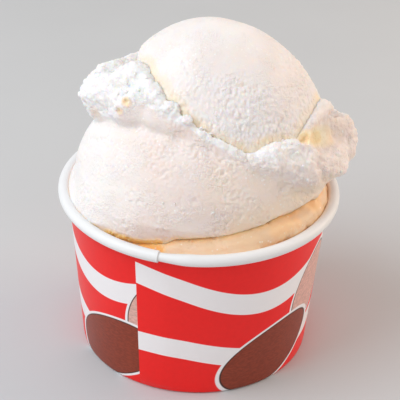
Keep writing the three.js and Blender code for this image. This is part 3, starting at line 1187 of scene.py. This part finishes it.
@dataclass
class Crumbs:
    """Loose crumbs that cling along the torn edge, all one mesh.

    The named ones are (x, y, z, radius) in millimetres.
    """

    scoop: LowerScoop
    named: tuple[Station, ...] = ()
    count: int = 60
    sizes: tuple[float, float] = (0.3 * MM, 0.95 * MM)
    seed: int = 7
    lowest: float = 70 * MM
    least_tornness: float = 0.6
    sunk: float = 0.25
    # The crumbs' attribute value: below 0, painted white for frost and light.
    frost: float = -0.5
    depth: float = 0.15 * MM

    def build(self) -> None:
        """Sets uneven grains half into the torn band's surface."""
        draw = random.Random(self.seed)
        spots = [
            vert
            for vert in self.scoop.piece.data.vertices
            if vert.normal.z > -0.1
            and vert.co.z > self.lowest
            and self.scoop.tornness(vert.co) > self.least_tornness
        ]
        shape = bmesh.new()
        for vert in draw.sample(spots, min(self.count, len(spots))):
            radius = self.sizes[0] + (self.sizes[1] - self.sizes[0]) * draw.random() ** 2.5
            self._grain(shape, vert.co - vert.normal * radius * self.sunk, radius, 2, draw)
        for x, y, z, radius in self.named:
            self._grain(shape, Vector((x, y, z)) * MM, radius * MM, 4, draw)
        crumbs = make("torn_crumbs", shape)
        mesh = crumbs.data
        mesh.shade_smooth()
        frosty_and_lit = mesh.attributes.new(PAINTED_SHADE_AND_LIGHT, "FLOAT", "POINT")
        frosty_and_lit.data.foreach_set("value", [self.frost] * len(mesh.vertices))
        finish = replace(self.scoop.finish, name="crumb_gelato", depth=self.depth)
        mesh.materials.append(finish.material())
        publish(crumbs, Slot.WHITE_GELATO)

    def _grain(
        self, shape: Shape, place: Vector, radius: float, detail: int, draw: random.Random
    ) -> None:
        """Adds one uneven grain.

        Args:
            shape: The bmesh that gets it.
            place: Its middle.
            radius: Its radius.
            detail: How finely it is divided.
            draw: Gives its turn and its squash.
        """
        turned = Matrix.Rotation(draw.uniform(0, math.tau), 4, (draw.uniform(-1, 1), 0.5, 0.6))
        squash = Matrix.Diagonal((1.0, draw.uniform(0.75, 1.0), draw.uniform(0.65, 0.9), 1.0))
        lie = Matrix.Translation(place) @ turned @ squash
        done = bmesh.ops.create_icosphere(shape, subdivisions=detail, radius=radius, matrix=lie)
        for grain in done["verts"]:
            uneven = 0.3 * noise.noise(grain.co / radius) + 0.3 * pits(grain.co, 0.8 * MM)
            grain.co += (grain.co - place) * uneven


def sky(count: int) -> list[Vector]:
    """Directions spread evenly over the upper half of a sphere, more of them near its pole.

    Args:
        count: How many.

    Returns:
        Unit vectors with a positive Z.
    """
    golden = math.pi * (3 - math.sqrt(5))
    rays = []
    for i in range(count):
        flat = math.sqrt((i + 0.5) / count)
        x, y = flat * math.cos(golden * i), flat * math.sin(golden * i)
        rays.append(Vector((x, y, math.sqrt(1 - flat * flat))))
    return rays


def search_tree(things: Sequence[Thing]) -> BVHTree:
    """One search tree over several pieces.

    Args:
        things: The pieces.

    Returns:
        The tree.
    """
    shape = bmesh.new()
    for thing in things:
        shape.from_mesh(thing.data)
    tree = BVHTree.FromBMesh(shape)
    shape.free()
    return tree


LUMP_ROPES = (
    Rope(((-40.4, -1.2, 88.6, 1.3), (-38.0, -1.4, 89.2, 3.0), (-31.0, -5.5, 91.5, 5.2))),
    Rope(((-28.0, -6.0, 96.5, 3.6), (-24.4, -7.0, 98.4, 3.4), (-21.2, -9.6, 98.4, 2.9))),
    Rope(((-21.2, -9.6, 98.4, 2.9), (-19.0, -12.8, 97.0, 2.7), (-17.2, -15.8, 95.8, 2.1))),
    Rope(((-17.2, -15.8, 95.8, 2.1), (-14.2, -18.4, 94.6, 1.5), (-11.6, -20.0, 93.8, 1.5))),
)
CURL_ROPES = (
    Rope(((27.2, -17.2, 83.3, 0.7), (29.8, -14.2, 85.2, 1.1), (32.4, -9.8, 86.8, 1.5))),
    Rope(((32.4, -9.8, 86.8, 1.5), (34.8, -5.2, 87.4, 1.7), (36.8, -0.8, 87.4, 1.6))),
    Rope(((36.8, -0.8, 87.4, 1.6), (38.6, 3.2, 84.8, 1.3))),
)
COLLAR_ROPES = (
    Rope(((16.6, -24.2, 82.8, 1.7), (20.4, -22.8, 83.4, 2.4), (26.0, -19.6, 83.2, 2.4))),
    Rope(((38.0, -15.4, 72.4, 2.8), (42.0, -9.6, 70.6, 2.8), (43.2, -5.0, 70.4, 2.2))),
)
MOUND_STATIONS = (
    (-40, 38.2, 51.4, 2.4), (-24, 37.4, 52.2, 2.8), (-10, 36.6, 53.2, 3.1), (2, 36.2, 53.9, 3.3),
    (14, 36.6, 55.3, 3.5), (26, 37.6, 56.8, 3.5), (38, 38.6, 58.2, 3.4), (48, 39.2, 58.5, 3.1),
    (58, 39.3, 58.2, 3.1), (68, 39.2, 57.4, 3.1), (80, 39.0, 56.8, 3.1), (92, 38.8, 56.2, 3.1),
    (106, 38.2, 55.0, 3.0), (124, 37.6, 53.4, 2.8), (146, 37.0, 51.6, 2.5),
    (170, 36.6, 50.2, 2.2),
)
BERM_STATIONS = (
    (-40, 39.2, 50.4, 2.2), (-20, 39.0, 51.4, 2.4), (-4, 39.0, 52.4, 2.5), (14, 39.2, 53.4, 2.6),
    (30, 39.2, 54.0, 2.6), (48, 39.2, 54.6, 2.6), (66, 39.2, 54.2, 2.6), (84, 39.2, 53.6, 2.6),
    (104, 39.2, 52.6, 2.4), (136, 39.0, 51.2, 2.3), (170, 38.8, 49.8, 2.0),
)
LEFT_RIM = Zone(
    ((-41.4, 14.2, 57.0), (-43.9, 0.0, 57.0), (-41.4, -14.2, 57.0), (-37.6, -22.4, 57.0)), 13.0
)
TUCK_PATH = (
    (-7.6, -35.8, 54.5), (2.2, -34.2, 54.8), (13.8, -33.0, 57.0),
    (21.0, -30.3, 59.0), (27.0, -26.0, 60.0), (33.0, -18.0, 60.0),
)
NECK_PATH = (
    (-34.6, -2.5, 79.9), (-27.7, -10.8, 83.3), (-21.3, -15.6, 85.4), (-15.0, -19.8, 86.3)
)
LOWER_STROKES = (
    Stroke(NECK_PATH, 7.5, 1.0, (-0.79, -0.58, 0.17)),  # fills the neck below the lump
    Stroke(((-25.9, -15.1, 94.0),), 1.4, -1.1),  # two holes in the lump
    Stroke(((-27.8, -14.7, 90.3),), 1.3, -0.7),
    Stroke(TUCK_PATH, 5.0, -1.4),  # tucks the scoop in above the filling
)
# Zones of painted shade on the lower scoop, warmer in colour.
LOWER_PAINTED_SHADE = (
    # The holes in the lump, and its left foot.
    Zone(((-25.9, -15.1, 94.0), (-25.2, -14.6, 93.4)), 2.2, 0.7),
    Zone(((-27.8, -14.7, 90.3),), 1.9, 0.6),
    Zone(((-35.4, -4.4, 84.6),), 4.0, 0.3),
    # The hollow behind the curl.
    Zone(((29.6, -16.4, 83.9), (31.6, -14.4, 82.8), (34.2, -11.0, 81.8)), 4.4, 0.8),
    Zone(((33.1, -12.1, 82.7), (37.0, -6.8, 79.9)), 6.0, 0.5),
    Zone(((34.8, -8.8, 83.1), (41.0, -2.0, 80.0)), 8.0, 0.25),
    # The scoop's lower edge over the filling, and the shade under the collar.
    Zone(((-30.5, -30.2, 55.6), (-26.2, -32.5, 55.5), (-19.0, -34.7, 55.4)), 2.4, 1.0),
    Zone(((-19.0, -34.7, 55.4), (-14.0, -35.9, 56.2)), 2.4, 1.0),
    Zone(((-14.0, -35.9, 56.2), (2.2, -34.2, 56.4), (13.8, -33.0, 59.0)), 2.6, 0.45),
    Zone(((13.8, -33.0, 59.0), (26.1, -26.8, 62.6)), 2.6, 0.45),
    Zone(((13.8, -33.0, 59.7), (26.1, -26.8, 63.2), (34.0, -18.6, 65.2)), 16.0, 0.34),
    Zone(((6.0, -33.0, 75.5), (20.0, -30.0, 73.5)), 13.0, 0.2),
)
# Zones of painted shade on the filling, along the scoop's lower edge and on its right.
FILL_PAINTED_SHADE = (
    Zone(((-32.0, -30.0, 55.0), (-26.2, -33.5, 55.0), (-19.0, -36.0, 55.0)), 3.6, 1.0),
    Zone(((-19.0, -36.0, 55.0), (-14.5, -37.2, 54.8)), 3.6, 1.0),
    Zone(((22.0, -31.8, 59.6), (25.6, -29.4, 60.4)), 5.0, 0.4),
    Zone(((33.0, -18.0, 60.6), (35.4, -14.4, 59.6)), 4.0, 0.45),
    Zone(((28.4, -27.4, 60.0),), 3.4, 0.4),
)
WING_CALM = (
    Zone(((32.5, -12.6, 82.0), (37.4, -6.6, 81.0), (41.2, -1.0, 80.4)), 6.5, 0.85),
    Zone(((27.2, -17.0, 83.3), (32.2, -9.4, 86.4), (36.8, -0.6, 87.2)), 3.6, 0.85),
)
RIDGE_TORN = (
    Zone(((-39.0, -1.4, 88.8), (-31.0, -5.5, 91.5), (-25.0, -8.0, 96.0)), 13.0, 0.95),
    Zone(((-20.0, -15.0, 96.0), (-11.4, -20.5, 93.7), (-6.8, -22.6, 92.2)), 3.4, 0.9),
    Zone(((-6.8, -22.6, 92.2), (3.0, -25.0, 87.8), (10.0, -25.2, 85.0)), 1.8, 0.6),
)
BIG_CRUMBS = (
    (-6.9, -22.7, 92.4, 1.6), (-12.0, -19.8, 94.6, 1.5), (-2.4, -24.2, 90.4, 0.6),
    (0.6, -24.9, 89.2, 0.45), (-13.1, -34.2, 69.7, 0.45), (-9.5, -34.9, 69.9, 0.4),
    (2.1, -35.9, 67.8, 0.45),
)


# ---- The studio ----


@dataclass(frozen=True)
class Softbox:
    """A soft square light. place and aim are in metres."""

    name: str
    place: Place
    aim: Place
    size: float
    power: float
    colour: Colour = (1.0, 1.0, 1.0)

    def build(self) -> None:
        """Hangs the light."""
        data = bpy.data.lights.new(self.name, "AREA")
        data.size = self.size
        data.energy = self.power
        data.color = self.colour
        lamp = link(self.name, data)
        lamp.location = self.place
        way = Vector(self.aim) - Vector(self.place)
        lamp.rotation_euler = way.to_track_quat("-Z", "Y").to_euler()


@dataclass(frozen=True)
class Camera:
    """A long lens that looks down at the cup from the front."""

    target: Vector
    elevation: float = math.radians(32.23)
    distance: float = 500.1 * MM
    roll: float = math.radians(2.1)
    tilt: float = math.radians(1.157)
    pan: float = math.radians(0.099)
    lens: float = 135

    def build(self) -> None:
        """Sets the camera up and makes it the scene's."""
        data = bpy.data.cameras.new("camera")
        data.lens = self.lens
        data.sensor_width = 36
        data.clip_start = 0.01
        back = Vector((0, -math.cos(self.elevation), math.sin(self.elevation)))
        right = Vector((1, 0, 0))
        axes = Matrix((right, back.cross(right), back)).transposed()
        axes = axes @ Matrix.Rotation(self.roll, 3, "Z")
        axes = axes @ Matrix.Rotation(self.tilt, 3, "X") @ Matrix.Rotation(-self.pan, 3, "Y")
        camera = link("camera", data)
        camera.matrix_world = Matrix.Translation(self.target + back * self.distance) @ axes.to_4x4()
        bpy.context.scene.camera = camera


@dataclass(frozen=True)
class Studio:
    """The floor, the lights and the air round the cup."""

    air: Colour = (1.0, 0.975, 0.945)
    wall_glow: float = 1.0
    ceiling_glow: float = 0.40
    floor_size: float = 3.0
    softboxes: tuple[Softbox, ...] = (
        Softbox("key", (-0.48, -0.2, 0.66), (0, 0, 0.06), 0.6, 4.4, (0.88, 0.955, 1.02)),
        Softbox("side", (0.58, 0.2, 0.28), (0, 0, 0.06), 0.35, 1.6, (1.0, 0.74, 0.53)),
    )

    def build(self) -> None:
        """Lays the floor, hangs the lights and sets the air's glow."""
        shape = bmesh.new()
        bmesh.ops.create_grid(shape, x_segments=1, y_segments=1, size=self.floor_size)
        floor = make("floor", shape)
        floor.data.materials.append(FloorFinish().material())
        for softbox in self.softboxes:
            softbox.build()
        world = bpy.data.worlds.new("studio_air")
        world.use_nodes = True
        tree = world.node_tree
        glow = tree.nodes["Background"]
        glow.inputs["Color"].default_value = (*self.air, 1.0)
        way = tree.nodes.new("ShaderNodeTexCoord")
        parts = tree.nodes.new("ShaderNodeSeparateXYZ")
        climb = tree.nodes.new("ShaderNodeMapRange")
        climb.inputs["To Min"].default_value = self.wall_glow
        climb.inputs["To Max"].default_value = self.ceiling_glow
        tree.links.new(way.outputs["Generated"], parts.inputs[0])
        tree.links.new(parts.outputs["Z"], climb.inputs["Value"])
        tree.links.new(climb.outputs[0], glow.inputs["Strength"])
        bpy.context.scene.world = world
        bpy.context.scene.view_settings.view_transform = "Standard"


def main() -> None:
    """Builds the cup, its gelato and the studio, and reports each piece."""
    logging.basicConfig(level=logging.INFO, format="%(name)s: %(message)s")
    cup = CupSizes.from_frame()
    Studio().build()
    Camera(cup.axis + Vector((0, 0, CAMERA_TARGET))).build()
    sidewall = PaperSidewall(cup).build()
    bottom = PaperBottom(cup).build()
    # glow: how far from a neighbour painted shade reaches.
    filling = Filling(
        "gelato_fill", "filling", Slot.CUSTARD, CUSTARD_GELATO, 0.7 * MM,
        ropes=tuple(Rope.round_cup(cup.axis, row) for row in (MOUND_STATIONS, BERM_STATIONS)),
        glow=2.6 * MM, glow_strength=0.7, painted_shade_zones=FILL_PAINTED_SHADE,
    )
    dome = search_tree([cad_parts["scoop_upper"]])
    lower = LowerScoop(
        "scoop_lower", "lower_scoop", Slot.WHITE_GELATO, SHADED_WHITE_GELATO, 0.46 * MM,
        ropes=COLLAR_ROPES + tuple(rope.lean(dome) for rope in LUMP_ROPES + CURL_ROPES),
        strokes=LOWER_STROKES, painted_shade_zones=LOWER_PAINTED_SHADE, glow=2.2 * MM,
        axis=cup.axis, torn_zones=RIDGE_TORN, calm_zones=WING_CALM,
    )
    upper = UpperScoop(
        "scoop_upper", "upper_scoop", Slot.WHITE_GELATO, WHITE_GELATO, 0.37 * MM, glow=5.0 * MM
    )
    masses = (filling, lower, upper)
    for mass in masses:
        mass.form()
    wall_tree = search_tree([sidewall])
    lower.press(wall_tree, 4.5 * MM, LEFT_RIM)
    lower_tree = search_tree([lower.piece])
    upper.press(lower_tree, 1.5 * MM)
    filling.press(lower_tree, 2.2 * MM)
    filling.press(wall_tree, 1.2 * MM)
    fill_tree = search_tree([filling.piece])
    everything = search_tree([sidewall, bottom, *(mass.piece for mass in masses)])
    rays = sky(16)
    filling.paint_shade_and_light(everything, lower_tree, rays)
    lower.paint_shade_and_light(everything, fill_tree, rays)
    upper.paint_shade_and_light(everything, lower_tree, rays)
    for mass in masses:
        mass.thin()
        publish(mass.piece, mass.slot, mass.node)
    Crumbs(lower, BIG_CRUMBS).build()


if __name__ == "__main__":
    main()
